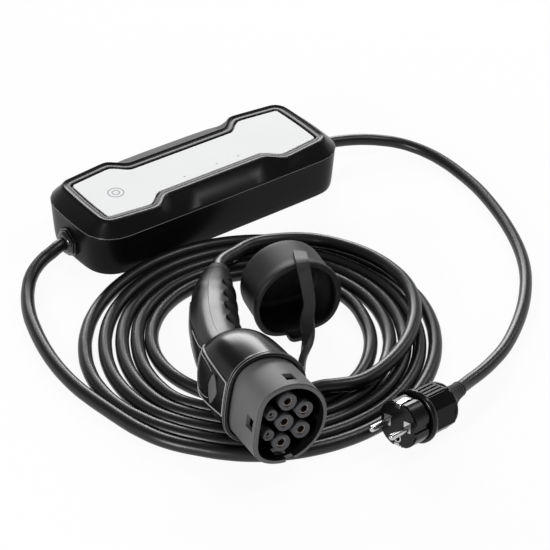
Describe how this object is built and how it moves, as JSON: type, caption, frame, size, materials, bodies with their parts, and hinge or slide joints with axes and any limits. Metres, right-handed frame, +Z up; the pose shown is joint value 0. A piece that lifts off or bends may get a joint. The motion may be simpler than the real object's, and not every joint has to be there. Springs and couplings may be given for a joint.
{
  "type": "portable electric car charger",
  "caption": "Portable car charger: a box with a bone-shaped face plate, a coiled output cable to a handled vehicle connector with a dust cap, and a short lead to a round-pin mains plug.",
  "frame": {"origin": "middle of the control box's footprint, on the floor", "axes": "+X along the box towards the mains lead's end, +Y away from the coil, +Z up"},
  "size_m": [0.4494, 0.4141, 0.0864],
  "materials": {
    "case_plastic": "satin moulded black",
    "plate_metal": "fine satin silver",
    "seal_rubber": "matt",
    "bright_steel": "bright nickel",
    "circuit_board": "solder mask",
    "relay_plastic": "satin",
    "ferrite_core": "matt",
    "coil_plastic": "taped winding",
    "terminal_plastic": "satin",
    "lamp_lens": "clear",
    "gloss_plastic": "glossy moulded black",
    "cable_sheath": "satin black sheath",
    "nose_plastic": "fine grained grey",
    "contact_brass": "turned",
    "soft_rubber": "matt"
  },
  "bodies": {
    "root": {"lower_case": "case_plastic", "upper_cover": "case_plastic", "face_plate": "plate_metal", "case_gasket": "seal_rubber", "case_screws": "bright_steel", "board_screws": "bright_steel", "plug_pins": "bright_steel", "earth_clips": "bright_steel", "earth_sleeve": "bright_steel", "main_board": "circuit_board", "indicator_board": "circuit_board", "power_relays": "relay_plastic", "controller_chip": "relay_plastic", "smoothing_capacitors": "relay_plastic", "current_sensor": "ferrite_core", "supply_transformer": "coil_plastic", "input_terminals": "terminal_plastic", "output_terminals": "terminal_plastic", "indicator_lamps": "lamp_lens", "output_gland": "gloss_plastic", "output_gland_cap": "gloss_plastic", "output_locknut": "gloss_plastic", "input_gland": "gloss_plastic", "input_gland_cap": "gloss_plastic", "input_locknut": "gloss_plastic", "connector_head": "gloss_plastic", "grip_upper": "gloss_plastic", "grip_lower": "gloss_plastic", "top_panel": "gloss_plastic", "contact_retainer": "gloss_plastic", "plug_front": "gloss_plastic", "plug_collar": "gloss_plastic", "plug_grip": "gloss_plastic", "plug_ring": "gloss_plastic", "output_lead": "cable_sheath", "output_coil": "cable_sheath", "output_tail": "cable_sheath", "input_lead": "cable_sheath", "nose_shell": "nose_plastic", "contact_insert": "nose_plastic", "power_contacts": "contact_brass", "pilot_contacts": "contact_brass", "thumb_pad": "soft_rubber", "finger_pad": "soft_rubber", "grip_boot": "soft_rubber", "dust_cap": "soft_rubber", "cap_strap": "soft_rubber", "plug_boot": "soft_rubber"}
  },
  "joints": []
}
